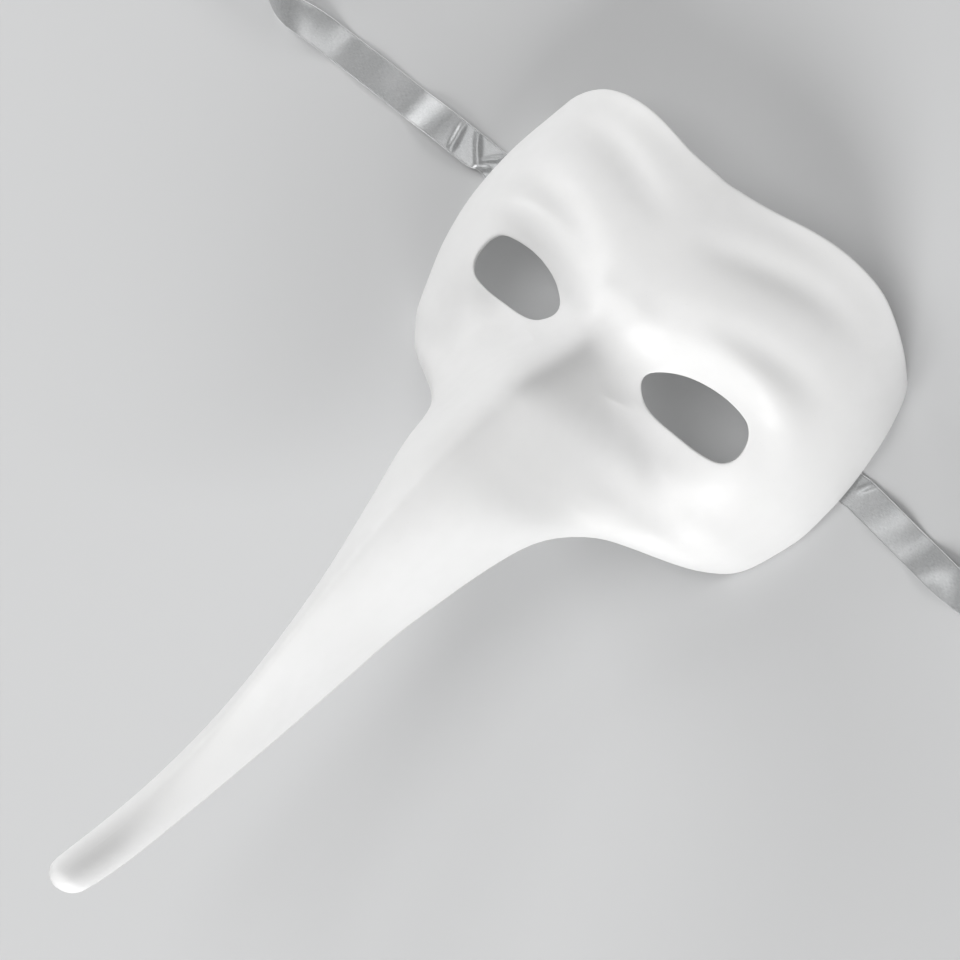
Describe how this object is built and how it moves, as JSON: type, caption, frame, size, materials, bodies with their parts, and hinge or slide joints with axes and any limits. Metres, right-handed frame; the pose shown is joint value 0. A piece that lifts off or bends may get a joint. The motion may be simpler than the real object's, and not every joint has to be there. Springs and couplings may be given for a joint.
{
  "type": "long-nosed half mask",
  "caption": "White moulded half mask with forehead, brows, two eye holes and a long drooping nose open underneath, tied with two satin ribbons.",
  "frame": {"origin": "on the resting surface, under the middle of the shell's box", "axes": "+Z out of the face, +Y towards the forehead, -Y towards the tip of the nose, +X to the viewer's right"},
  "size_m": [0.4685, 0.331, 0.1382],
  "materials": {
    "shell": "eggshell white",
    "ribbon": "satin",
    "glue": "clear hot-melt",
    "patch": "felt"
  },
  "bodies": {
    "mask": {"mask_shell": "shell", "glue_pad_left": "glue", "ribbon_tab_left": "ribbon", "cover_patch_left": "patch", "glue_pad_right": "glue", "ribbon_tab_right": "ribbon", "cover_patch_right": "patch"},
    "ribbon_left": {"ribbon_run_left": "ribbon", "ribbon_roll_left": "ribbon"},
    "ribbon_right": {"ribbon_run_right": "ribbon", "ribbon_roll_right": "ribbon"}
  },
  "joints": [
    {"name": "ribbon_left_swing", "type": "hinge", "parent": "mask", "child": "ribbon_left", "pos_m": [-0.08191, 0.10823, 0.0002], "axis": [0, 1, 0], "range_deg": [-90, 75]},
    {"name": "ribbon_right_swing", "type": "hinge", "parent": "mask", "child": "ribbon_right", "pos_m": [0.08261, 0.09473, 0.0002], "axis": [0, -1, 0], "range_deg": [-90, 75]}
  ]
}
